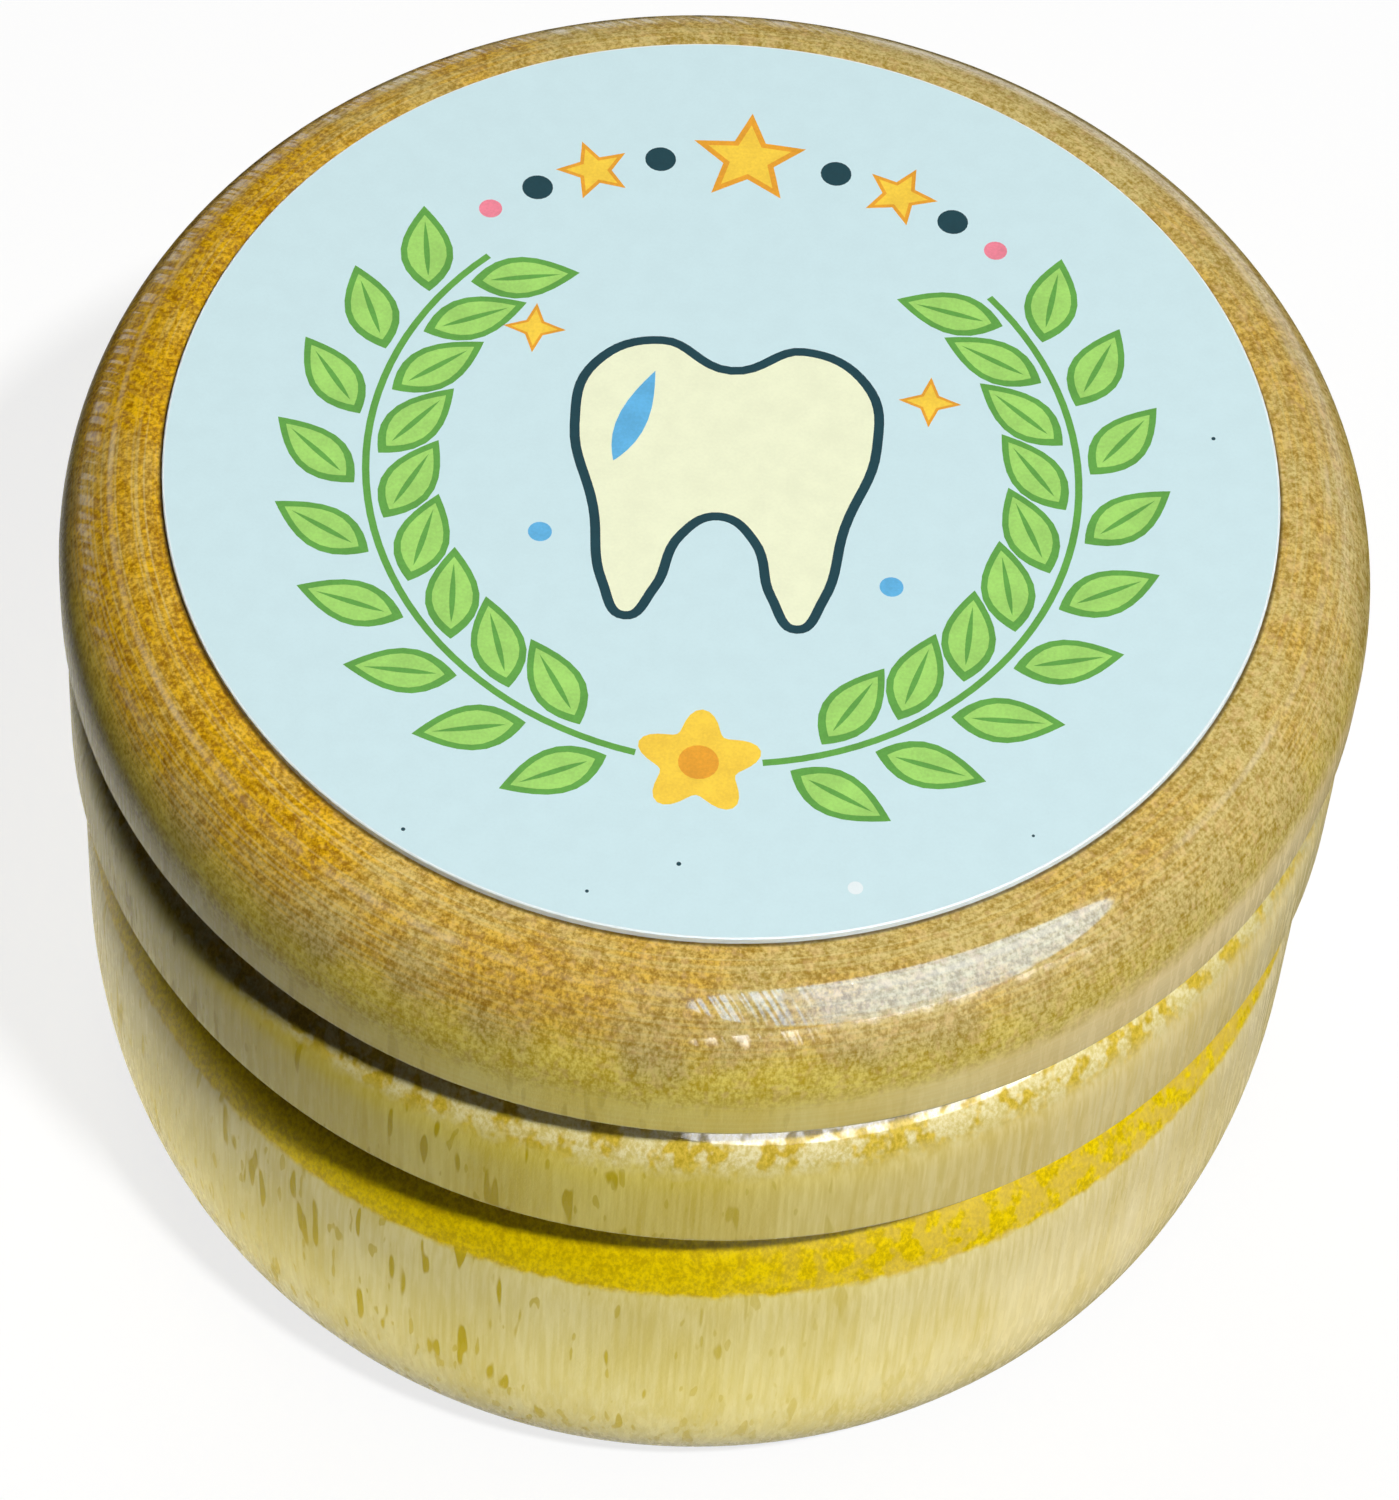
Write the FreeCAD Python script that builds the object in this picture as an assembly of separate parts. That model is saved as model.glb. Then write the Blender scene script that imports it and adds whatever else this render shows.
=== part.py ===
# Round turned wooden box for milk teeth: a cup-shaped box body, a push-on lid and a printed disc on the lid.
# Millimetres, +Z up, origin at the centre of the flat base.
import FreeCAD
import Part
import math
import os

# Lid
LID_DIAMETER = 50.0
LID_HEIGHT = 6.8
LID_CORNER_WIDTH = 3.7
LID_CORNER_HEIGHT = 4.7
PLUG_LENGTH = 5.0
PLUG_CLEARANCE = 0.1
PLUG_EDGE_RADIUS = 0.8
DISH_MARGIN = 4.4
DISH_DEPTH = 1.6

# Printed disc on the lid
PRINT_MARGIN = 0.3
PRINT_THICKNESS = 0.3

# Rim band of the box body, from the seat of the lid down to the groove
RIM_SETBACK = 0.15
RIM_HEIGHT = 7.9
RIM_SHOULDER_WIDTH = 3.6
RIM_SHOULDER_HEIGHT = 4.6

# Groove between rim band and bowl
GROOVE_DEPTH = 3.45
GROOVE_HEIGHT = 0.6

# Bowl of the box body, from the base up to the groove
BOWL_SETBACK = 0.4
BOWL_HEIGHT = 20.4
BOWL_SHOULDER_HEIGHT = 6.0
BASE_CORNER_WIDTH = 3.5
BASE_CORNER_HEIGHT = 10.0

# Cavity of the box body
WALL_THICKNESS = 6.45
FLOOR_THICKNESS = 5.0
CAVITY_CORNER_RADIUS = 4.0

# Radius that eases the turned edges
EDGE_RADIUS = 0.4

# Distance under which two points of an outline count as one
SAME_PLACE = 0.000001

# Levels above the table
groove_top = BOWL_HEIGHT + GROOVE_HEIGHT
seat = groove_top + RIM_HEIGHT
lid_top = seat + LID_HEIGHT

# Radii about the turning axis
lid_radius = LID_DIAMETER / 2
rim_radius = lid_radius - RIM_SETBACK
bowl_radius = rim_radius - BOWL_SETBACK
cavity_radius = bowl_radius - WALL_THICKNESS
plug_radius = cavity_radius - PLUG_CLEARANCE
print_radius = lid_radius - LID_CORNER_WIDTH - PRINT_MARGIN

AXIS = FreeCAD.Vector(0, 0, 1)


def place(corner):
    """Where a corner of a turned outline lies, in the plane of X and Z."""
    return FreeCAD.Vector(corner[0], 0, corner[1])


def step_towards(corner, neighbour):
    """Step from a corner along the line to its neighbour, as far as the corner's rounding reaches."""
    way = place(neighbour) - place(corner)
    if abs(way.x) > abs(way.z):
        return FreeCAD.Vector(math.copysign(corner[2], way.x), 0, 0)
    return FreeCAD.Vector(0, 0, math.copysign(corner[3], way.z))


def quarter_curve(centre, first, second):
    """Quarter of an ellipse about a centre, with its ends at the two half axes."""
    longer, shorter = sorted((first, second), key=lambda half_axis: half_axis.Length, reverse=True)
    if longer.Length - shorter.Length < SAME_PLACE:
        middle = centre + (first + second) * math.sqrt(1 / 2)
        return Part.Arc(centre + first, middle, centre + second).toShape()
    ellipse = Part.Ellipse(centre + longer, centre + shorter, centre)
    return Part.ArcOfEllipse(ellipse, 0, math.pi / 2).toShape()


def turned(corners):
    """Solid turned about Z from an outline of level and upright lines that begins and ends on the axis.

    A corner is (radius, height) where it is sharp, or (radius, height, width, rise) where it is rounded.
    """
    edges = []
    pen = place(corners[0])
    for before, corner, after in zip(corners, corners[1:], corners[2:] + corners[:1]):
        begin = end = place(corner)
        if len(corner) > 2:
            back = step_towards(corner, before)
            onward = step_towards(corner, after)
            begin = place(corner) + back
            end = place(corner) + onward
            edges.append(quarter_curve(begin + onward, -onward, -back))
        if pen.distanceToPoint(begin) > SAME_PLACE:
            edges.append(Part.LineSegment(pen, begin).toShape())
        pen = end
    edges.append(Part.LineSegment(pen, place(corners[0])).toShape())
    outline = Part.Wire(Part.__sortEdges__(edges))
    return Part.Face(outline).revolve(FreeCAD.Vector(), AXIS, 360)


def make_box_body():
    """Bowl, groove and rim band in one turned piece, with the round cavity inside."""
    groove_root = bowl_radius - GROOVE_DEPTH
    return turned([
        (0, 0),
        (bowl_radius, 0, BASE_CORNER_WIDTH, BASE_CORNER_HEIGHT),
        (bowl_radius, BOWL_HEIGHT, GROOVE_DEPTH, BOWL_SHOULDER_HEIGHT),
        (groove_root, BOWL_HEIGHT),
        (groove_root, groove_top),
        (rim_radius, groove_top, EDGE_RADIUS, EDGE_RADIUS),
        (rim_radius, seat, RIM_SHOULDER_WIDTH, RIM_SHOULDER_HEIGHT),
        (cavity_radius, seat, EDGE_RADIUS, EDGE_RADIUS),
        (cavity_radius, FLOOR_THICKNESS, CAVITY_CORNER_RADIUS, CAVITY_CORNER_RADIUS),
        (0, FLOOR_THICKNESS),
    ])


def make_lid():
    """Lid with a rounded upper corner, a plug for the mouth and a shallow dish under the plug."""
    plug_end = seat - PLUG_LENGTH
    lid = turned([
        (0, plug_end),
        (plug_radius, plug_end, PLUG_EDGE_RADIUS, PLUG_EDGE_RADIUS),
        (plug_radius, seat),
        (lid_radius, seat, EDGE_RADIUS, EDGE_RADIUS),
        (lid_radius, lid_top, LID_CORNER_WIDTH, LID_CORNER_HEIGHT),
        (0, lid_top),
    ])
    dish_radius = plug_radius - DISH_MARGIN
    ball_radius = (dish_radius ** 2 + DISH_DEPTH ** 2) / (2 * DISH_DEPTH)
    ball = Part.makeSphere(ball_radius, FreeCAD.Vector(0, 0, plug_end + DISH_DEPTH - ball_radius))
    return lid.cut(ball)


def make_printed_disc():
    """Thin stiff disc that carries the print, stuck on the flat top of the lid."""
    return Part.makeCylinder(print_radius, PRINT_THICKNESS, FreeCAD.Vector(0, 0, lid_top))


os.makedirs("parts", exist_ok=True)
make_box_body().exportStep("parts/box_body.step")
make_lid().exportStep("parts/lid.step")
make_printed_disc().exportStep("parts/printed_disc.step")
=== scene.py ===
# %% [markdown]
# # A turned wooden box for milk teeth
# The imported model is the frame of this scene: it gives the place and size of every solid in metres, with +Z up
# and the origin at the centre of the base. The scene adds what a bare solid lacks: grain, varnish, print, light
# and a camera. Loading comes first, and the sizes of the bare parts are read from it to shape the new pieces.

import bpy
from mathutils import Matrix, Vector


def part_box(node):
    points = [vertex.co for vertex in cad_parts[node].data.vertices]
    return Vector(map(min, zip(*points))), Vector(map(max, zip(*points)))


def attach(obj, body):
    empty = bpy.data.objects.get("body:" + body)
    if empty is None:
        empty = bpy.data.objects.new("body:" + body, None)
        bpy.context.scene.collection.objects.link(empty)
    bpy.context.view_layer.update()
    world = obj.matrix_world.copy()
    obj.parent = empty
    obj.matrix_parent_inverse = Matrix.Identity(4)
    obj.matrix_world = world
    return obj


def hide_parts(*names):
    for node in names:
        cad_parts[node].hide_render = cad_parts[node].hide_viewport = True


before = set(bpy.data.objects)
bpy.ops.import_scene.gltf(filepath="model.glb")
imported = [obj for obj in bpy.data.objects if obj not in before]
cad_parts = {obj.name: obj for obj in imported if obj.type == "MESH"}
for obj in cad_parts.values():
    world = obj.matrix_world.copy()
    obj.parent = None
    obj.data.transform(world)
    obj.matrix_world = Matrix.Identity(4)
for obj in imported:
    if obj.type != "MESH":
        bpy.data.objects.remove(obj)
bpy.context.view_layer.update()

# %% [markdown]
# ## The camera
# The photograph looks steeply down on the lid, so the lid's circle shows as a wide ellipse and the three tiers
# of the side show below it. The tiers shrink towards the base, which only a near camera shows. Place, tilt,
# roll and focal length were fitted to the ellipses of the photograph, so no lens shift is needed.

# %% Camera
import math
import bpy
from mathutils import Matrix, Vector

CAMERA_PLACE = (0, -0.147687, 0.230570)
CAMERA_TILT = 34.72
CAMERA_ROLL = 4.785
LENS_MM = 156
SENSOR_MM = 36
NEAREST_SEEN = 0.01

scene = bpy.context.scene
camera = bpy.data.objects.new("camera", bpy.data.cameras.new("camera"))
camera.data.lens = LENS_MM
camera.data.sensor_width = SENSOR_MM
camera.data.clip_start = NEAREST_SEEN
tilt = Matrix.Rotation(math.radians(CAMERA_TILT), 4, "X")
roll = Matrix.Rotation(math.radians(CAMERA_ROLL), 4, "Z")
camera.location = CAMERA_PLACE
camera.rotation_euler = (tilt @ roll).to_euler()
scene.collection.objects.link(camera)
scene.camera = camera
print("camera at", [round(side, 3) for side in camera.location], "metres")

# %% [markdown]
# ## Turning the wood
# Box and lid come off a lathe: a tool follows an outline while the blank spins. Blender's spin does the same with
# a line. The line starts as a few corners, and bevelling single vertices rounds them as a turner's scraper would.
# A bevel makes round corners only, and most corners here are taller than wide. So the line is squeezed first
# until the corner is as tall as wide, then bevelled and stretched back.

# %% Outline and spin
import bmesh

MM = 0.001
SPIN_STEPS = 192
SMALL_ROUNDING = 1 * MM
SMALL_SEGMENTS = 6
LARGE_SEGMENTS = 20
SAME_PLACE = 0.001 * MM
CREASE_DEGREES = 40


def add_object(name, bm):
    """Turn a bmesh into an object of the scene."""
    mesh = bpy.data.meshes.new(name)
    bm.to_mesh(mesh)
    bm.free()
    made = bpy.data.objects.new(name, mesh)
    scene.collection.objects.link(made)
    print(name, "has", len(mesh.polygons), "faces")
    return made


def round_corner(bm, corner, width, rise):
    """Round one corner of an outline over a width and a rise."""
    squeeze = width / rise
    segments = SMALL_SEGMENTS if width < SMALL_ROUNDING else LARGE_SEGMENTS
    bmesh.ops.scale(bm, vec=(1, 1, squeeze), verts=bm.verts)
    bmesh.ops.bevel(bm, geom=[corner], affect="VERTICES", offset=width, offset_type="OFFSET",
                    segments=segments, profile=0.5, material=-1, clamp_overlap=False)
    bmesh.ops.scale(bm, vec=(1, 1, 1 / squeeze), verts=bm.verts)


def draw_outline(bm, pen, corners):
    """Draw on from a vertex. A corner is (radius, height), and (radius, height, width, rise) where it is rounded."""
    rounded = []
    for radius, height, *rounding in corners:
        corner = bm.verts.new((radius, 0, height))
        bm.edges.new((pen, corner))
        pen = corner
        if rounding:
            rounded.append((corner, *rounding))
    for corner, width, rise in rounded:
        round_corner(bm, corner, width, rise)


def turn_on_lathe(name, bm):
    """Spin an outline once round the axis into a closed piece."""
    bmesh.ops.spin(bm, geom=bm.verts[:] + bm.edges[:], cent=(0, 0, 0), axis=(0, 0, 1), dvec=(0, 0, 0),
                   angle=math.tau, steps=SPIN_STEPS, use_merge=True)
    bmesh.ops.remove_doubles(bm, verts=bm.verts, dist=SAME_PLACE)
    bmesh.ops.recalc_face_normals(bm, faces=bm.faces)
    piece = add_object(name, bm)
    piece.data.shade_smooth()
    piece.data.set_sharp_from_angle(angle=math.radians(CREASE_DEGREES))
    return piece


# %% [markdown]
# ## The box
# The cup is one piece of wood: a bowl with a softly rounded foot and shoulder, a narrow groove, a rim band with a
# rounded shoulder, and a round cavity. The outline starts on the axis under the base, climbs the outside and comes
# back down the cavity to the axis.

# %% Box
BOWL_SETBACK = 0.4 * MM
BOWL_TOP = 20.4 * MM
BOWL_SHOULDER_RISE = 6 * MM
GROOVE_DEPTH = 3.45 * MM
GROOVE_TOP = 21 * MM
CAVITY_RADIUS = 18 * MM
CAVITY_FLOOR = 5 * MM

# Roundings of the outline: width and rise
FOOT = (3.5 * MM, 10 * MM)
RIM_SHOULDER = (3.6 * MM, 4.6 * MM)
CAVITY_CORNER = (4 * MM, 4 * MM)
EASED_EDGE = (0.4 * MM, 0.4 * MM)

box_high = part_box("box_body")[1]
seat = box_high.z
rim_radius = box_high.x
bowl_radius = rim_radius - BOWL_SETBACK
groove_root = bowl_radius - GROOVE_DEPTH

bm = bmesh.new()
draw_outline(bm, bm.verts.new((0, 0, 0)), [
    (bowl_radius, 0, *FOOT),
    (bowl_radius, BOWL_TOP, bowl_radius - groove_root, BOWL_SHOULDER_RISE),
    (groove_root, BOWL_TOP),
    (groove_root, GROOVE_TOP),
    (rim_radius, GROOVE_TOP, *EASED_EDGE),
    (rim_radius, seat, *RIM_SHOULDER),
    (CAVITY_RADIUS, seat, *EASED_EDGE),
    (CAVITY_RADIUS, CAVITY_FLOOR, *CAVITY_CORNER),
    (0, CAVITY_FLOOR),
])
box = turn_on_lathe("turned_box", bm)
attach(box, "box")
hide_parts("box_body")

# %% [markdown]
# ## The lid
# The lid is turned the same way. Under it a plug goes into the mouth of the box, and the plug has a shallow dish,
# which leaves more room for the teeth. The dish is a piece of a ball: one vertex is swung about the ball's centre,
# and the arc that it leaves is the start of the outline.

# %% Lid
PLUG_LENGTH = 5 * MM
PLUG_CLEARANCE = 0.1 * MM
PLUG_EDGE = (0.8 * MM, 0.8 * MM)
DISH_MARGIN = 4.4 * MM
DISH_DEPTH = 1.6 * MM
DISH_STEPS = 12
LID_CORNER = (3.7 * MM, 4.7 * MM)

lid_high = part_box("lid")[1]
lid_radius = lid_high.x
lid_top = lid_high.z
plug_end = seat - PLUG_LENGTH
plug_radius = CAVITY_RADIUS - PLUG_CLEARANCE
dish_radius = plug_radius - DISH_MARGIN
dish_top = plug_end + DISH_DEPTH
ball_radius = (dish_radius ** 2 + DISH_DEPTH ** 2) / (2 * DISH_DEPTH)

bm = bmesh.new()
dish = bmesh.ops.spin(bm, geom=[bm.verts.new((0, 0, dish_top))], cent=(0, 0, dish_top - ball_radius),
                      axis=(0, 1, 0), dvec=(0, 0, 0), angle=math.asin(dish_radius / ball_radius),
                      steps=DISH_STEPS)
draw_outline(bm, dish["geom_last"][0], [
    (plug_radius, plug_end, *PLUG_EDGE),
    (plug_radius, seat),
    (lid_radius, seat, *EASED_EDGE),
    (lid_radius, lid_top, *LID_CORNER),
    (0, lid_top),
])
lid = turn_on_lathe("turned_lid", bm)
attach(lid, "lid")
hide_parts("lid")

# %% [markdown]
# ## The printed disc
# A thin round film with a print is stuck on the lid. An image texture would be the usual way, but lines stay sharp
# at any distance when each colour of the print is its own area of the mesh. So every motif is a closed line in the
# plane of the film, and each area between lines is filled and gets the material of its ink.

# %% Lines and fills of the print
INKS = ["ground", "leaf_green", "stem_green", "milk_white", "line_teal", "sun_yellow", "warm_orange", "blossom_pink",
        "sky_blue", "cut_edge"]


def ring(segments, radius):
    """Points of a round line about the middle of the print."""
    return bmesh.ops.create_circle(art, segments=segments, radius=radius)["verts"]


def put(points, x=0, y=0, turn=0):
    """Turn points, in degrees, move them to their place, in millimetres, and give the edges of their closed line."""
    place = Matrix.Translation((x * MM, y * MM, 0)) @ Matrix.Rotation(math.radians(turn), 4, "Z")
    bmesh.ops.transform(art, matrix=place, verts=points)
    return list({edge for point in points for edge in point.link_edges})


def fill(ink, *lines):
    """Fill the area inside the first line and outside the others with one ink."""
    made = bmesh.ops.triangle_fill(art, use_beauty=True, edges=sum(lines, []), normal=(0, 0, 1))["geom"]
    for part in made:
        if isinstance(part, bmesh.types.BMFace):
            part.material_index = INKS.index(ink)


art = bmesh.new()
motifs = []
print("the print has", len(INKS), "inks")

# %% [markdown]
# ### Leaves
# Two leafy sprigs curve up from the bottom of the print. A leaf is a circle that is pressed into a lens: its points
# keep their place along the leaf and move towards its middle line near both tips. A larger lens in dark green
# around a smaller one in light green gives the outline, and a very thin one is the rib.

# %% Leaves
LEAF_POINTS = 24
LEAF_LENGTH, LEAF_WIDTH = 4.2, 2.0
INNER_LENGTH, INNER_WIDTH = LEAF_LENGTH - 0.9, LEAF_WIDTH - 0.5
RIB_LENGTH, RIB_WIDTH = LEAF_LENGTH - 1.5, 0.22
TIP_TAPER = 0.25


def lens(length, width):
    """Points of a leaf along X with two pointed ends."""
    points = ring(LEAF_POINTS, 1)
    for point in points:
        along = point.co.x
        side = math.copysign(1 - along * along, point.co.y) * (1 - TIP_TAPER * along)
        point.co = (along * length / 2 * MM, side * width / 2 * MM, 0)
    return points


def leaf(x, y, turn):
    """One leaf with an outline and a rib."""
    outer = put(lens(LEAF_LENGTH, LEAF_WIDTH), x, y, turn)
    inner = put(lens(INNER_LENGTH, INNER_WIDTH), x, y, turn)
    rib = put(lens(RIB_LENGTH, RIB_WIDTH), x, y, turn)
    fill("stem_green", outer, inner)
    fill("leaf_green", inner, rib)
    fill("stem_green", rib)
    motifs.append(outer)


# %% [markdown]
# ### Sprigs
# The leaves stand in two rows along each sprig, one leaning outwards and one inwards. A leaf's place is given by its
# angle round the print, so equal steps of that angle bend the rows, and the left sprig mirrors the right one.

# %% Sprigs
SPRIG_RADIUS = 13.4
LEAF_OFFSET = 0.45
LEAF_LEAN = 40
LEAVES_IN_ROW = 9
LEAF_STEP = 13.5
OUTER_ROW_START = -76
INNER_ROW_START = -70


def sprig_leaf(angle, lean, side):
    """Leaf on a sprig. Angle is its place round the print, side 1 for the right sprig and -1 for the left one."""
    way = angle + 90 + lean
    reach = SPRIG_RADIUS - math.copysign(LEAF_OFFSET, lean)
    x = reach * math.cos(math.radians(angle)) + LEAF_LENGTH / 2 * math.cos(math.radians(way))
    y = reach * math.sin(math.radians(angle)) + LEAF_LENGTH / 2 * math.sin(math.radians(way))
    leaf(side * x, y, way if side > 0 else 180 - way)


for step in range(LEAVES_IN_ROW):
    for side in (1, -1):
        sprig_leaf(OUTER_ROW_START + LEAF_STEP * step, -LEAF_LEAN, side)
        sprig_leaf(INNER_ROW_START + LEAF_STEP * step, LEAF_LEAN, side)
print(len(motifs), "leaves")

# %% [markdown]
# ### Stems
# Each sprig has a thin bent stem. It could be cut out of a ring, but a spin that stops part of the way makes it at
# once: a short edge swings about the middle of the print and leaves a narrow strip behind.

# %% Stems
STEM_HALF_WIDTH = 0.14
STEM_STEPS = 40


def stem(first, last):
    """Strip of ink between two places round the print, in degrees."""
    ends = [art.verts.new(((SPRIG_RADIUS + half) * MM, 0, 0)) for half in (-STEM_HALF_WIDTH, STEM_HALF_WIDTH)]
    bmesh.ops.rotate(art, matrix=Matrix.Rotation(math.radians(first), 3, "Z"), verts=ends)
    known = set(art.faces)
    bmesh.ops.spin(art, geom=[*ends, art.edges.new(ends)], cent=(0, 0, 0), axis=(0, 0, 1), dvec=(0, 0, 0),
                   angle=math.radians(last - first), steps=STEM_STEPS)
    strip = set(art.faces) - known
    for face in strip:
        face.material_index = INKS.index("stem_green")
    motifs.append(list({edge for face in strip for edge in face.edges if edge.is_boundary}))
    print("stem of", len(strip), "faces")


stem(first=-80, last=44)
stem(first=-100, last=-224)

# %% [markdown]
# ### The tooth
# The tooth in the middle is drawn as in a drawing program: a closed Bezier curve through a few points with smooth
# handles. The right half is given, and the left half is its mirror image. The curve becomes a closed line, and a
# second copy is moved inwards, each point square to the line. So the dark outline between the two is equally wide all
# round, which it would not be if the second line were only made smaller.

# %% Tooth
TOOTH = [(0, 5.3), (2.7, 6.5), (5.3, 5.1), (5.9, 1.9), (4.9, -1.9), (4.3, -5.3), (3.2, -6.9), (2.0, -5.4),
         (1.2, -2.9), (0, -2.0)]
TOOTH_DROP = 0.4
TOOTH_LINE_WIDTH = 0.38
CURVE_STEPS = 8


def smooth_line(points, inset=0):
    """Points of a closed smooth line through a few points in millimetres, drawn clockwise, and moved inwards."""
    curve = bpy.data.curves.new("pen", "CURVE")
    curve.resolution_u = CURVE_STEPS
    spline = curve.splines.new("BEZIER")
    spline.bezier_points.add(len(points) - 1)
    spline.use_cyclic_u = True
    for knot, (x, y) in zip(spline.bezier_points, points):
        knot.co = (x * MM, y * MM, 0)
        knot.handle_left_type = knot.handle_right_type = "AUTO"
    pen = bpy.data.objects.new("pen", curve)
    drawn = bpy.data.meshes.new_from_object(pen)
    known = set(art.verts)
    art.from_mesh(drawn)
    bpy.data.objects.remove(pen)
    bpy.data.curves.remove(curve)
    bpy.data.meshes.remove(drawn)
    line = [point for point in art.verts if point not in known]
    neighbours = zip(line[-1:] + line[:-1], line[1:] + line[:1])
    ways = [(after.co - before.co).normalized() for before, after in neighbours]
    for point, way in zip(line, ways):
        point.co += Vector((way.y, -way.x, 0)) * inset * MM
    return line


whole_tooth = TOOTH + [(-x, y) for x, y in reversed(TOOTH[1:-1])]
tooth_outer = put(smooth_line(whole_tooth), y=-TOOTH_DROP)
tooth_inner = put(smooth_line(whole_tooth, inset=TOOTH_LINE_WIDTH), y=-TOOTH_DROP)
gleam = put(lens(length=4.6, width=1.1), x=-3.5, y=2.2, turn=74)
fill("line_teal", tooth_outer, tooth_inner)
fill("milk_white", tooth_inner, gleam)
fill("sky_blue", gleam)
motifs.append(tooth_outer)
print("tooth line of", len(tooth_outer), "points")

# %% [markdown]
# ### Stars and dots
# Small motifs close the wreath at the top and fill the space beside the tooth. A star is a circle of points with every
# second one pulled in, and a smaller star on it leaves a thin rim. A few very small dots are dust that the film
# caught, and one pale dot has the white of the cut edge.

# %% Stars and dots
STAR_FILL = 0.74
DOT_POINTS = 20
ARC_RADIUS = 15.2
ARC_TOP = 90

# Place and radius of each speck of dust, in millimetres
DUST = [(18.4, 3.4, 0.08), (-0.4, -17.9, 0.09), (-3.6, -19.4, 0.07), (-10.4, -17.4, 0.08), (12.3, -15.4, 0.06)]


def star(x, y, radius, points=5, waist=0.45, turn=90):
    """Star with a thin darker rim."""
    lines = []
    for size in (radius, radius * STAR_FILL):
        corners = ring(points * 2, size * MM)
        bmesh.ops.scale(art, vec=(waist, waist, 1), verts=corners[1::2])
        tip = math.degrees(math.atan2(corners[0].co.y, corners[0].co.x))
        lines.append(put(corners, x, y, turn - tip))
    fill("warm_orange", *lines)
    fill("sun_yellow", lines[1])
    motifs.append(lines[0])


def dot(x, y, radius, ink):
    """Round dot."""
    line = put(ring(DOT_POINTS, radius * MM), x, y)
    fill(ink, line)
    motifs.append(line)


def on_arc(turn):
    """Place on the arc that closes the wreath, in degrees from its top."""
    angle = math.radians(ARC_TOP + turn)
    return ARC_RADIUS * math.cos(angle), ARC_RADIUS * math.sin(angle)


star(*on_arc(0), radius=2.3)
for side in (1, -1):
    dot(*on_arc(side * 13), radius=0.6, ink="line_teal")
    star(*on_arc(side * 23), radius=1.5, turn=ARC_TOP + side * 23)
    dot(*on_arc(side * 32), radius=0.6, ink="line_teal")
    dot(*on_arc(side * 40), radius=0.45, ink="blossom_pink")
    star(side * 7.6, 5.0 - side, radius=1.2, points=4, waist=0.4)
    dot(side * 6.6, -4.2 - side * 0.6, radius=0.45, ink="sky_blue")
for speck in DUST:
    dot(*speck, ink="line_teal")
dot(6.0, -18.3, radius=0.28, ink="cut_edge")
print(len(motifs), "motifs")

# %% [markdown]
# ### The blossom
# A blossom joins the two sprigs at the bottom. Petals could be five separate shapes, but one closed line is easier to
# fill: a circle whose points swing in and out five times.

# %% Blossom
BLOSSOM_POINTS = 60
PETALS = 5
PETAL_REACH = 1.9
PETAL_SWING = 0.45
PETAL_TURN = 18
HEART_RADIUS = 0.75

petals = ring(BLOSSOM_POINTS, 1)
for point in petals:
    swing = math.cos(PETALS * math.atan2(point.co.y, point.co.x))
    point.co *= (PETAL_REACH + PETAL_SWING * swing) * MM
petals = put(petals, y=-SPRIG_RADIUS, turn=PETAL_TURN)
heart = put(ring(DOT_POINTS, HEART_RADIUS * MM), y=-SPRIG_RADIUS)
fill("sun_yellow", petals, heart)
fill("warm_orange", heart)
motifs.append(petals)
print("blossom of", PETALS, "petals")

# %% [markdown]
# ### Ground and edge
# The ground is everything inside the margin that no motif covers. The film was cut out a little outside the ink, so a
# hair of white shows round it. The outer line is then pulled out and down to a cut edge with a tiny bevel, and closed
# by a face underneath.

# %% Ground and edge
EDGE_POINTS = 160
EDGE_BEVEL = 0.04 * MM
WHITE_MARGIN = 0.08 * MM

disc_low, disc_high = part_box("printed_disc")
disc_radius = disc_high.x
top_radius = disc_radius - EDGE_BEVEL
margin_line = put(ring(EDGE_POINTS, disc_radius - WHITE_MARGIN))
edge_line = put(ring(EDGE_POINTS, top_radius))
fill("ground", margin_line, *motifs)
fill("cut_edge", edge_line, margin_line)
for widen, drop in ((EDGE_BEVEL, EDGE_BEVEL), (0, disc_high.z - disc_low.z - EDGE_BEVEL)):
    pulled = bmesh.ops.extrude_edge_only(art, edges=edge_line)["geom"]
    verts = [part for part in pulled if isinstance(part, bmesh.types.BMVert)]
    grow = 1 + widen / top_radius
    bmesh.ops.scale(art, vec=(grow, grow, 1), verts=verts)
    bmesh.ops.translate(art, vec=(0, 0, -drop), verts=verts)
    edge_line = [part for part in pulled if isinstance(part, bmesh.types.BMEdge)]
    for face in (part for part in pulled if isinstance(part, bmesh.types.BMFace)):
        face.material_index = INKS.index("cut_edge")
bmesh.ops.contextual_create(art, geom=edge_line, mat_nr=INKS.index("cut_edge"))
bmesh.ops.translate(art, vec=(0, 0, disc_high.z), verts=art.verts)
bmesh.ops.recalc_face_normals(art, faces=art.faces)
print("open edges of the print:", sum(not edge.is_manifold for edge in art.edges))
printed = add_object("printed_film", art)
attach(printed, "lid")
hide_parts("printed_disc")

# %% [markdown]
# ## Writing materials as sums
# A material is a net of nodes, and long nets are hard to read as code. The class below keeps one output socket, so
# that patterns can be added, subtracted and multiplied as numbers are, and each sign adds its Math node.

# %% Patterns
def connect(node, values):
    """Set a node's sockets to numbers, or link them where the value is a pattern."""
    for name, value in values.items():
        if isinstance(value, Pattern):
            node.id_data.links.new(value.socket, node.inputs[name])
        else:
            node.inputs[name].default_value = value


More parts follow.
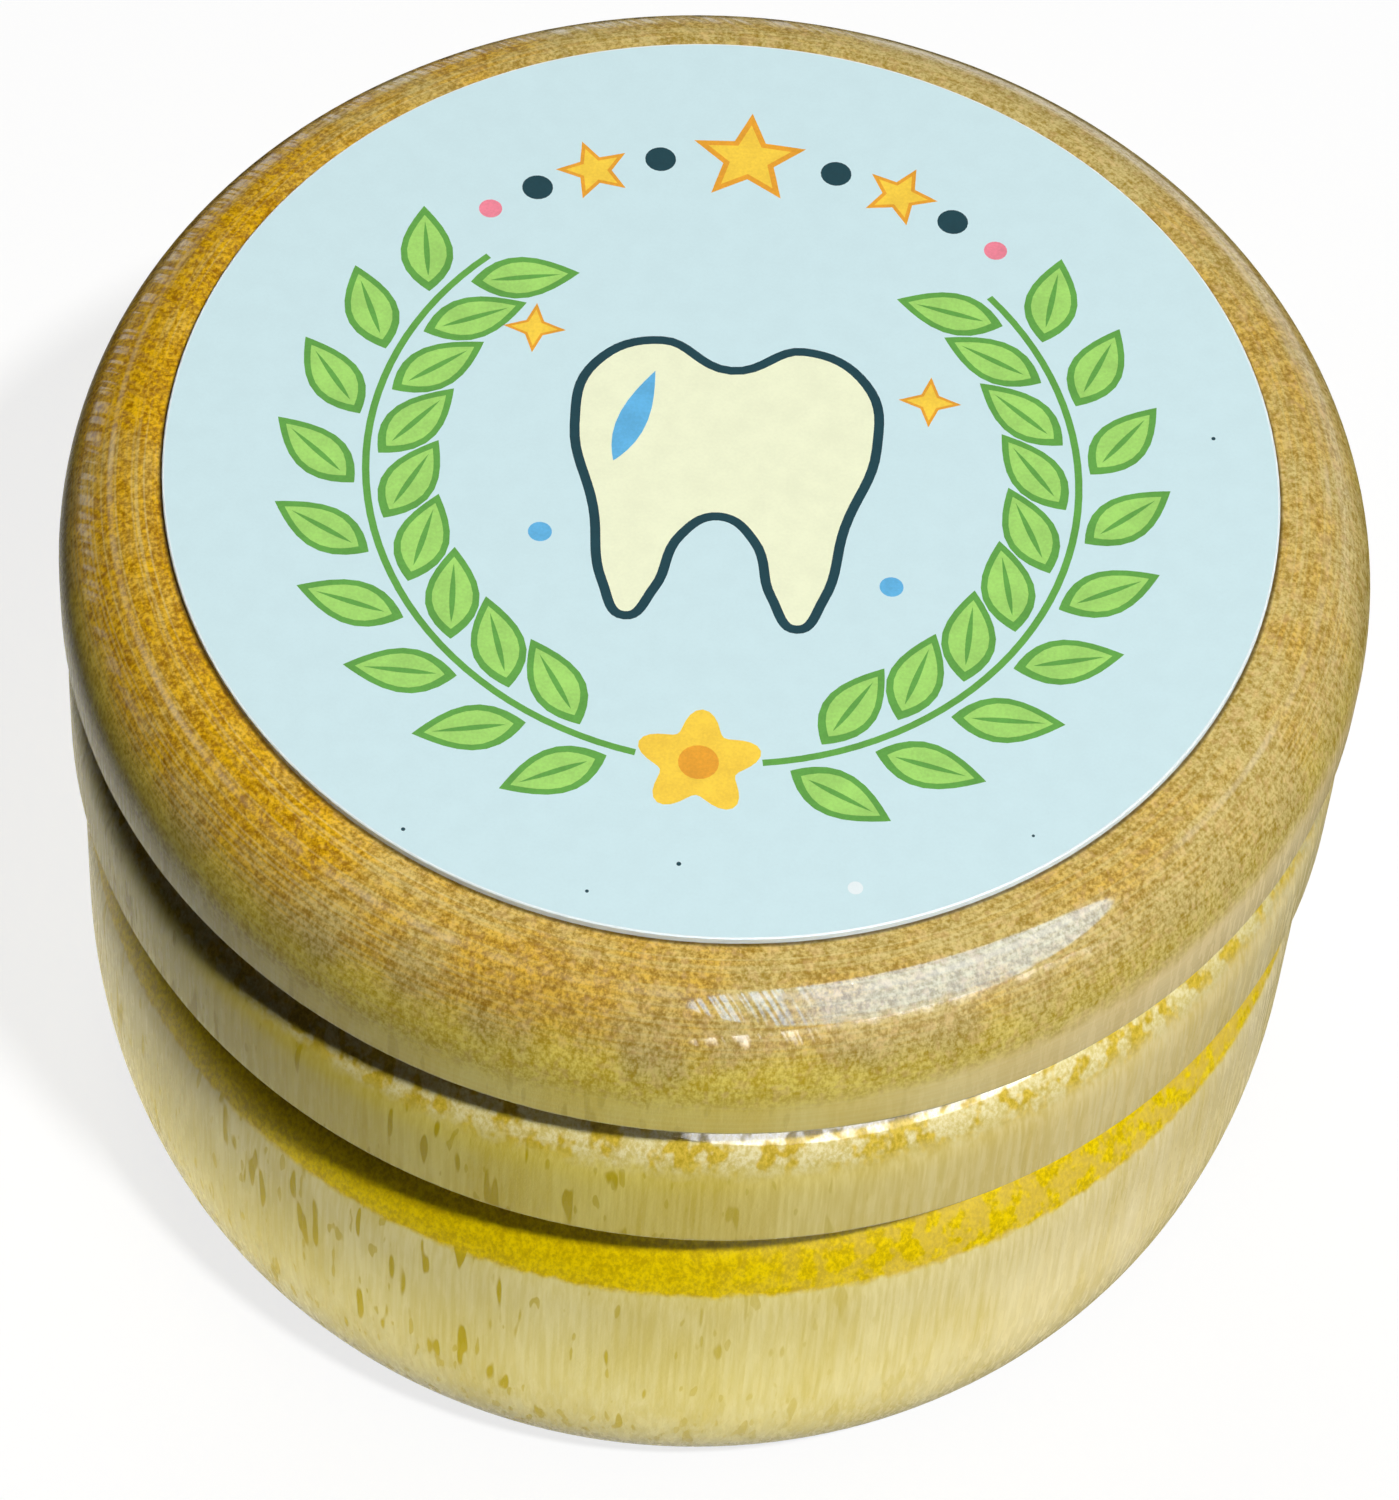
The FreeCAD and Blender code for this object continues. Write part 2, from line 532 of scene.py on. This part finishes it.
class Pattern:
    """Something that varies over a surface, kept as the socket that gives it."""

    def __init__(self, socket):
        self.socket = socket

    def node(self, kind, settings, values, output=0):
        """Add a node to the same material, with its settings first and then its values and links."""
        made = self.socket.id_data.nodes.new("ShaderNode" + kind)
        for name, value in settings.items():
            setattr(made, name, value)
        connect(made, values)
        return Pattern(made.outputs[output])

    def math(self, operation, *values):
        return self.node("Math", {"operation": operation}, dict(enumerate(values)))

    def __add__(self, other):
        return self.math("ADD", self, other)

    def __radd__(self, other):
        return self.math("ADD", other, self)

    def __sub__(self, other):
        return self.math("SUBTRACT", self, other)

    def __rsub__(self, other):
        return self.math("SUBTRACT", other, self)

    def __mul__(self, other):
        return self.math("MULTIPLY", self, other)

    def __rmul__(self, other):
        return self.math("MULTIPLY", other, self)

    def part(self, axis):
        """One of the three numbers of a vector."""
        return self.node("SeparateXYZ", {}, {0: self}, "XYZ".index(axis))

    def length(self):
        """Length of a vector."""
        return self.node("VectorMath", {"operation": "LENGTH"}, {0: self}, output=1)

    def rise(self, low, high):
        """Smooth step from 0 at low to 1 at high."""
        return self.node("MapRange", {"interpolation_type": "SMOOTHSTEP"},
                         {"Value": self, "From Min": low, "From Max": high})

    def span(self, fade_in, fade_out):
        """1 between two soft ends: it rises over the first pair of values and falls over the second."""
        return self.rise(*fade_in) * self.rise(*reversed(fade_out))

    def blend(self, first, second):
        """Colour that goes from the first to the second as this pattern goes from 0 to 1."""
        return self.node("Mix", {"data_type": "RGBA"}, {0: self, 6: first, 7: second}, output=2)

    def noise(self, size, detail=2.0, turn=0.0, roughness=0.6):
        """Cloudy noise of a size along X, Y and Z, turned about Z in degrees."""
        spot = self.node("Mapping", {"vector_type": "TEXTURE"},
                         {"Vector": self, "Rotation": (0, 0, math.radians(turn)), "Scale": size})
        return spot.node("TexNoise", {}, {"Vector": spot, "Scale": 1, "Detail": detail, "Roughness": roughness})


# %% [markdown]
# ## Colours and places
# A colour is easiest to judge in the values of the screen, from 0 to 255, while the shader works with light. One
# helper changes the first into the second, and two mix colours: one between a dark and a light tone, and one as a
# painter glazes a thin layer over another. The last starts a material and hands out the place on the piece in
# millimetres and the direction that the surface faces, because every pattern here is made from these two.

# %% Colours and new materials
from mathutils import Color


def paint(red, green, blue):
    """Colour from screen values of 0 to 255."""
    return (*Color((red / 255, green / 255, blue / 255)).from_srgb_to_scene_linear(), 1)


def tones(pattern, dark, light):
    """Colour that goes from dark to light with a pattern. Both are screen values."""
    return pattern.blend(paint(*dark), paint(*light))


def glaze(colour, tint, cover):
    """Colour with a tint over it, in screen values. Cover is a pattern from 0, where no tint shows, to 1."""
    return cover.blend(colour, paint(*tint))


def new_material(name):
    """Material, its shader, and its place in millimetres and its direction as patterns."""
    material = bpy.data.materials.new(name)
    material.use_nodes = True
    nodes = material.node_tree.nodes
    coordinates = nodes.new("ShaderNodeTexCoord")
    metres = Pattern(coordinates.outputs["Object"])
    place = metres.node("VectorMath", {"operation": "SCALE"}, {0: metres, "Scale": 1 / MM})
    return material, nodes["Principled BSDF"], place, Pattern(coordinates.outputs["Normal"])


# %% [markdown]
# ## The wood
# Beech grows in fibres along the axis of the blank. Cut along them, on an upright side, they show as fine pale
# streaks with short dark flecks, which are the rays of the tree. Cut across, on a shoulder or a rounding, the open
# ends drink the varnish and turn golden brown and speckled. A solid pattern gives both at once: noise that is thin
# across and long along Z shows as streaks on the side and as specks on top, with no seam between them. The flecks
# are such noise too, cut off so high that only its peaks are left, as slim upright spindles.

# %% Grain
from types import SimpleNamespace

# Sizes of the marks along X, Y and Z, in millimetres
FIBRE = (0.2, 0.2, 5)
FINE_ENDS = (0.17, 0.17, 0.27)
COARSE_ENDS = (0.5, 0.5, 0.6)
LONG_RAY = (0.7, 0.7, 5)
SHORT_RAY = (0.45, 0.45, 2)
PATCH = (3, 3, 9)
TOOL_RING = (0.16, 0.16, 1)
RAGGED_EDGE = (0.7, 0.7, 0.7)

# Values of a noise between which a soft mark fades in
SOFT = (0.3, 0.7)


def grain(place, facing):
    """Places on turned wood in millimetres, and its marks from 0 to 1."""
    across, height = place.part("X"), place.part("Z")
    radius = place.node("VectorMath", {"operation": "MULTIPLY"}, {0: place, 1: (1, 1, 0)}).length()
    lathe = radius.node("CombineXYZ", {}, {"X": radius, "Y": height})
    ragged = place.noise(RAGGED_EDGE) - 0.5
    ends = 0.7 * place.noise(FINE_ENDS, detail=3, roughness=0.7) + 0.3 * place.noise(COARSE_ENDS)
    long_ray = place.noise(LONG_RAY, detail=1).rise(0.64, 0.68)
    short_ray = place.noise(SHORT_RAY, detail=1).rise(0.66, 0.7)
    return SimpleNamespace(
        across=across, height=height, radius=radius, ragged=ragged,
        upward=facing.part("Z") + 0.2 * ragged,
        fibre=place.noise(FIBRE).rise(*SOFT),
        ends=ends.rise(0.36, 0.64),
        ray=long_ray.math("MAXIMUM", long_ray, 0.7 * short_ray) * across.rise(16, -6),
        patch=place.noise(PATCH, roughness=0.5).rise(0.25, 0.75),
        rings=lathe.noise(TOOL_RING).rise(*SOFT))


# %% [markdown]
# ### Varnish and relief
# Both pieces are finished alike. The colour soaks into the wood, and a thin clear coat lies on it, so the highlights
# are sharp while the wood under them stays dull. Where the wood is bare there is no coat, and the rings of the
# turner's tool are left rougher. Cut fibre ends stand up a little, which a small bump shows.

# %% Finish of the wood
BARE_WOOD = ((196, 158, 104), (228, 200, 152))
FINE_STREAK = (0.25, 0.25, 2)
BUMP_STRENGTH = 0.2
BUMP_HEIGHT = 0.05 * MM
COAT_ROUGHNESS = 0.06
WOOD_SPECULAR = 0.04


def finish_wood(piece, material, shader, place, wood, varnished, bare, gloss):
    """Put colour, varnish and relief on a piece. Bare is 1 where the wood has no varnish."""
    raw = tones(0.6 * wood.fibre + 0.4 * wood.rings, *BARE_WOOD)
    relief = 0.6 * wood.ends + 0.2 * wood.fibre + (0.1 + 0.5 * bare) * wood.rings
    bump = relief.node("Bump", {}, {"Strength": BUMP_STRENGTH, "Distance": BUMP_HEIGHT, "Height": relief})
    connect(shader, {
        "Base Color": bare.blend(varnished, raw),
        "Roughness": 0.22 + 0.1 * place.noise(FINE_STREAK) + 0.35 * bare,
        "Coat Weight": (1 - bare) * gloss,
        "Coat Roughness": COAT_ROUGHNESS,
        "Specular IOR Level": WOOD_SPECULAR,
        "Normal": bump,
    })
    piece.data.materials.append(material)
    print(material.name, "has", len(material.node_tree.nodes), "nodes")


# %% [markdown]
# ### Colours of the lid
# On the lid the cut ends of the fibres are golden, down the rounding the gold turns olive, and the upright side is
# pale.
# Round the lid the colour is painted shade and light: amber and deep at the left, away from the lamp, browner in
# front, and straw-coloured and paler at the right, where the lamp falls. The side is likewise a deeper yellow at the
# left. The back is paler too, a painted reflection of the pale backdrop. Such zones could be painted on a
# picture. Here each is a mask made from height or place, so it follows the turned shape without any unwrapping.

# %% Colours of the lid
DRIFT = (14, 14, 40)

lid_wood, shader, place, facing = new_material("lid_wood")
wood = grain(place, facing)
drift = place.noise(DRIFT, detail=1).rise(*SOFT)

streaks = 0.25 * wood.rings + 0.75 * wood.patch
# Painted shade and light: the side is a deeper yellow at the left, away from the lamp, and paler at the right.
side = wood.across.rise(-2, 18).blend(tones(streaks, (242, 216, 88), (253, 237, 136)),
                                      tones(streaks, (240, 214, 146), (252, 232, 176)))
side = glaze(side, (190, 160, 0), 0.3 * wood.ray)

amber = tones(wood.ends, (150, 100, 0), (234, 184, 18))
brown = tones(wood.ends, (150, 110, 34), (222, 180, 66))
straw = tones(wood.ends, (158, 131, 48), (211, 191, 124))
olive = tones(wood.ends, (216, 184, 46), (255, 237, 112))
# Painted shade and light: amber at the left, browner in front, and straw where the paleness rises towards the right.
deep = wood.across.rise(-15, -1).blend(amber, brown)
paleness = 0.16 + 0.5 * wood.patch + 0.25 * drift + 0.3 * (wood.rings - 0.5)
# The terms of across are painted light and shade: paler at the right, where the lamp falls, deeper at the left.
paleness = paleness + 0.007 * wood.across - 0.2 * wood.across.rise(-4, -20)
# The term of Y makes the back paler: a painted reflection of the pale backdrop.
paleness = paleness + 0.2 * place.part("Y").rise(5, 20) + 0.4 * wood.height.rise(34.8, 31.5)
gold = paleness.rise(0.05, 0.95).blend(deep, straw)
lower_rounding = (wood.height + 1.5 * (wood.patch - 0.5)).rise(34, 32)
gold = ((0.8 - 0.5 * wood.across.rise(2, 18)) * lower_rounding).blend(gold, olive)
print("colours of the lid:", len(lid_wood.node_tree.nodes), "nodes")

# %% [markdown]
# ### Marks on the lid
# Rosy granules, pale rings and one thin line of the turner's tool break up the gold. A dark ring round the print is
# painted shadow at the foot of the film, a pale line on the sharp lower edge is a painted reflection, and the seat
# under the lid is painted dark, as shade in the joint. All of them could go into one formula. As glazes over the
# colour below, they can be tried and changed one by one.

# %% Marks on the lid
GRANULE = (0.4, 0.4, 0.5)

rosy = place.noise(GRANULE, detail=1).rise(0.5, 0.7) * wood.across.rise(-24, 2)
pale_rings = wood.rings.rise(0.6, 0.9) * drift
tool_line = wood.height.span((35.08, 35.18), (35.2, 35.3)) * wood.patch
gold = glaze(gold, (224, 186, 130), 0.3 * rosy)
gold = glaze(gold, (240, 220, 150), 0.2 * pale_rings)
gold = glaze(gold, (240, 228, 196), 0.35 * tool_line)

end_grain = (wood.height + 1.2 * wood.ragged - 0.035 * wood.across).rise(30.2, 31.8)
# Painted shadow: a dark ring in the wood round the foot of the film's raised edge.
film_foot_shadow = wood.radius.rise(21.2, 21.06) * wood.height.rise(35.5, 35.6)
# Painted reflection: a pale line on the lid's sharp lower edge.
edge_sheen = wood.height.rise(29.3, 29.1)
# Painted shade: the face under the lid, in the joint, is made dark, so it throws little light into the joint.
seat_shade = facing.part("Z").rise(-0.6, -0.9)
varnished = end_grain.blend(side, gold)
varnished = glaze(varnished, (60, 42, 10), 0.8 * film_foot_shadow)
varnished = glaze(varnished, (222, 210, 166), 0.5 * edge_sheen)
varnished = glaze(varnished, (92, 66, 22), 0.9 * seat_shade)
print("with the marks on it:", len(lid_wood.node_tree.nodes), "nodes")

# %% [markdown]
# ### Varnish of the lid
# The coat is thick on the upper rounding at the right, where the long highlight lies. Towards the left it is rubbed
# down to fine slanting scratches, and the highlight ends there in short strokes. The plug has none.

# %% Varnish of the lid
SCRATCH = (2.5, 0.18, 50)
SCRATCH_TURN = -45

plug = wood.height.rise(28.85, 28.8)
scratch = place.noise(SCRATCH, detail=1, turn=SCRATCH_TURN).rise(0.45, 0.6)
rubbed = wood.across.rise(6, 3)
gloss = rubbed * scratch * wood.upward.rise(0.5, 0.6)
gloss = gloss + (1 - rubbed) * wood.upward.rise(0.58, 0.74) * (0.7 + 0.3 * wood.ends)
gloss = gloss + 0.06 * wood.height.rise(31, 30)
finish_wood(lid, lid_wood, shader, place, wood, varnished, plug, gloss)

# %% [markdown]
# ### Colours of the box
# Bowl and rim band have pale side grain with flecks. Round the box their colour is painted shade and light: a deeper
# yellow at the left, darker still at the far left, and paler at the right, where the lamp falls. The shoulder of the
# bowl is a strong yellow with tan spots at the right, and the shoulder of the rim is mottled and turns into plain
# golden end grain at the mouth. The groove is painted dark, as shade in the recess, and the lower edge of the rim band
# is painted pale, as a reflection. The masks are made as for the lid, and noise makes their borders ragged, because
# varnish soaks in unevenly.

# %% Side of the box
box_wood, shader, place, facing = new_material("box_wood")
wood = grain(place, facing)
in_band = wood.height.rise(20.8, 20.9)

streaks = 0.5 * wood.fibre + 0.5 * wood.patch
# Painted shade and light: the bowl is a deeper yellow at the left and paler at the right, where the lamp falls.
bowl = wood.across.rise(2, 22).blend(tones(streaks, (228, 208, 108), (249, 235, 160)),
                                     tones(streaks, (221, 201, 126), (246, 231, 184)))
# Painted shade: the bowl is darker still at the far left, where it turns away from the light.
bowl = glaze(bowl, (186, 166, 84), 0.4 * wood.across.rise(-13, -24))
# Painted shade and light: the rim band is likewise deeper at the left and paler at the right.
band = wood.across.rise(-5, 20).blend(tones(streaks, (226, 202, 70), (248, 230, 118)),
                                      tones(streaks, (230, 206, 124), (251, 235, 180)))
side = glaze(in_band.blend(bowl, band), (206, 180, 0), wood.ray)
print("side of the box:", len(box_wood.node_tree.nodes), "nodes")

# %% Shoulders of the box
SPOT = (0.8, 0.8, 1.2)

spots = place.noise(SPOT).rise(0.42, 0.56)
yellow = tones(wood.ends, (210, 176, 0), (252, 222, 0))
yellow = glaze(yellow, (228, 196, 90), 0.6 * spots * wood.across.rise(0, 12))
mottled = spots.blend(tones(wood.ends, (200, 168, 32), (236, 206, 72)),
                      tones(wood.ends, (228, 208, 118), (252, 240, 182)))
mouth = tones(wood.ends, (190, 150, 36), (236, 206, 104))
mottled = wood.height.rise(27.4, 28.6).blend(mottled, mouth)

bowl_shoulder = (wood.height + 0.6 * wood.ragged).rise(15.9, 16.3) * wood.height.rise(20.7, 20.6)
rim_shoulder = wood.upward.rise(0.15, 0.4) * in_band
# Painted reflection: a pale line on the lower edge of the rim band.
edge_sheen = wood.height.rise(21.4, 21.2) * in_band
# Painted shade: the groove is made dark, as shade in the recess.
groove_shade = wood.height.span((20.1, 20.4), (21.02, 21.08))
varnished = rim_shoulder.blend(bowl_shoulder.blend(side, yellow), mottled)
varnished = glaze(varnished, (228, 214, 170), 0.5 * edge_sheen)
varnished = glaze(varnished, (60, 44, 0), 0.85 * groove_shade)
print("with its shoulders:", len(box_wood.node_tree.nodes), "nodes")

# %% [markdown]
# ### Varnish of the box
# The side is nearly dull. On the shoulder of the rim the coat lies in spots, so the light of the window breaks up into
# glints there. Cavity and base are bare.

# %% Varnish of the box
cavity = wood.radius.rise(18.4, 18.1) * wood.height.rise(4.8, 4.95)
base = wood.height.rise(0.05, 0.02)
glints = wood.across.rise(-5, 3) * wood.height.rise(25.2, 26) * (0.2 + 0.8 * spots)
gloss = 0.03 * wood.upward.rise(0.4, 0.1) + glints
finish_wood(box, box_wood, shader, place, wood, varnished, cavity + base, gloss)

# %% [markdown]
# ## The inks
# The print is matt film. Every ink lies on the same film, so one helper makes them all: a colour with a faint cloudy
# variation, and a very fine tooth in the surface.

# %% Inks
INK_CLOUD = (1.2, 1.2, 1.2)
FILM_TOOTH = (0.12, 0.12, 0.12)
FILM_BUMP = {"Strength": 0.08, "Distance": 0.03 * MM}


def ink(name, colour, variation=0.125):
    """Material of one ink on the film. Variation is how far it gets darker and lighter."""
    material, shader, place, _ = new_material(name)
    cloud = place.noise(INK_CLOUD, detail=3)
    tooth = place.noise(FILM_TOOTH)
    dark = [part * (1 - variation) for part in colour[:3]] + [1]
    light = [min(1, part * (1 + variation)) for part in colour[:3]] + [1]
    shade = (0.6 * cloud + 0.4 * tooth).rise(*SOFT)
    bump = tooth.node("Bump", {}, {**FILM_BUMP, "Height": tooth})
    connect(shader, {"Base Color": shade.blend(dark, light), "Roughness": 0.42 + 0.1 * tooth, "Normal": bump})
    printed.data.materials.append(material)


ink("ground", paint(203, 228, 232), variation=0.02)
ink("leaf_green", paint(160, 212, 104))
ink("stem_green", paint(96, 160, 66))
ink("milk_white", paint(238, 241, 206), variation=0.0375)
ink("line_teal", paint(24, 62, 70))
ink("sun_yellow", paint(250, 204, 64))
ink("warm_orange", paint(232, 160, 40))
ink("blossom_pink", paint(238, 132, 150))
ink("sky_blue", paint(96, 176, 222))
ink("cut_edge", paint(230, 239, 240), variation=0.025)
print([material.name for material in printed.data.materials])

# %% [markdown]
# ## The floor
# The box stands on plain white paper. The camera sees a wide sheet that takes the shadow of the box, and the varnish
# mirrors its far part and some of it close by at the left. The sheet also throws soft light back. If all of it did,
# that light would reach deep into the joint and the groove, which are dark. So only a narrow ring of paper around the
# box gives such light. It comes from below and brightens the upright sides. The ring is weaker in front, where the
# lamp already shines, and stronger at the left, as if a white card stood there.

# %% Floor
FLOOR_HALF_SIZE = 2
PAPER_GREY = (0.2, 0.2, 0.2, 1)
PAPER_GLOW = 0.79
RING_GLOW = 10.25
WHITE = (1, 1, 1, 1)

bm = bmesh.new()
bmesh.ops.create_grid(bm, x_segments=1, y_segments=1, size=FLOOR_HALF_SIZE)
floor = add_object("floor", bm)
paper, shader, place, _ = new_material("white_paper")
connect(shader, {"Base Color": PAPER_GREY, "Roughness": 1, "Specular IOR Level": 0,
                 "Emission Color": WHITE, "Emission Strength": PAPER_GLOW})
nodes = paper.node_tree.nodes
rays = nodes.new("ShaderNodeLightPath")
mirrored = Pattern(rays.outputs["Is Glossy Ray"]) + Pattern(rays.outputs["Is Transmission Ray"])
across, distance = place.part("X"), place.length()

front = (place.part("Y") - 0.4 * across).rise(-12, -34)
left = across.rise(-12, -32)
lit_ring = distance.span((31, 33.5), (35, 38.5)) * (0.8 - 0.33 * front + 0.15 * left) * (1 - mirrored)
glow = place.node("Emission", {}, {"Strength": RING_GLOW})
glow = place.node("MixShader", {}, {0: lit_ring, 2: glow})
near_paper = 0.9 * distance.rise(60, 42) * across.rise(25, 0)
far_paper = distance.rise(80, 120)
seen = Pattern(rays.outputs["Is Camera Ray"]) + mirrored * (near_paper + far_paper)
sheet = place.node("MixShader", {}, {0: seen, 1: glow, 2: Pattern(shader.outputs[0])})
connect(nodes["Material Output"], {"Surface": sheet})
floor.data.materials.append(paper)

# %% [markdown]
# ## The light
# A small lamp high at the front right gives the shape its light and shade: the lid throws a crisp shadow on the rim at
# the left. A wide lamp behind lights the back and the print, and a low one at the right brightens that side. The long
# highlight on the rounding of the lid is the reflection of a large cool window, and the glints on the rim come from a
# low one. These two are left to the varnish alone, so they don't flatten the shade. Together the lamps give a plain
# level, at which a colour comes out about as it is written.

# %% Lamps
LAMP_AIM = Vector((0, 0, 0.03))
COOL_DAYLIGHT = (0.32, 0.62, 1)


def soft_lamp(name, turn, height, away, size, power, colour=(1, 1, 1)):
    """Oval lamp that faces the box. Turn is measured from the front to the right, in degrees."""
    lamp = bpy.data.lights.new(name, "AREA")
    lamp.shape = "ELLIPSE"
    lamp.size, lamp.size_y = size
    lamp.energy = power
    lamp.color = colour
    direction = Vector((0, -1, 0))
    direction.rotate(Matrix.Rotation(math.radians(-height), 3, "X"))
    direction.rotate(Matrix.Rotation(math.radians(turn), 3, "Z"))
    held = bpy.data.objects.new(name, lamp)
    held.location = LAMP_AIM + direction * away
    held.rotation_euler = direction.to_track_quat("Z", "Y").to_euler()
    scene.collection.objects.link(held)
    print(name, "at", [round(side, 2) for side in held.location])
    return held


for diffuse_lamp in (
        soft_lamp("key_lamp", turn=38, height=61, away=0.9, size=(0.08, 0.06), power=7.6),
        soft_lamp("back_lamp", turn=200, height=60, away=1.0, size=(0.5, 0.4), power=2.1),
        soft_lamp("right_lamp", turn=60, height=4, away=0.9, size=(0.4, 0.2), power=1.5)):
    diffuse_lamp.visible_glossy = False
for window in (
        soft_lamp("window", turn=38, height=42, away=0.7, size=(0.7, 0.62), power=11.5, colour=COOL_DAYLIGHT),
        soft_lamp("low_window", turn=32, height=9, away=0.7, size=(0.8, 0.3), power=9)):
    window.visible_diffuse = False

# %% [markdown]
# ## The world
# From a low view the edge of the paper shows, and the world behind it. A bright world would fill the dark joint with
# light, so it is nearly dark for the wood. The camera sees a pale backdrop in its place, about as light as the far
# paper, and the varnish mirrors a little of it.

# %% World
WORLD_LIGHT = 0.01
BACKDROP = 0.82
MIRRORED_BACKDROP = 0.3

world = bpy.data.worlds.new("white_world")
world.use_nodes = True
nodes = world.node_tree.nodes
connect(nodes["Background"], {"Color": WHITE, "Strength": WORLD_LIGHT})
rays = nodes.new("ShaderNodeLightPath")
camera_ray, clear_ray, glossy_ray = (Pattern(rays.outputs[f"Is {kind} Ray"])
                                     for kind in ("Camera", "Transmission", "Glossy"))
seen = camera_ray + clear_ray + MIRRORED_BACKDROP * glossy_ray
backdrop = camera_ray.node("Background", {}, {"Color": WHITE, "Strength": BACKDROP})
sky = camera_ray.node("MixShader", {}, {0: seen, 1: Pattern(nodes["Background"].outputs[0]), 2: backdrop})
connect(nodes["World Output"], {"Surface": sky})
scene.world = world
scene.view_settings.view_transform = "Standard"
print("world has", len(nodes), "nodes")
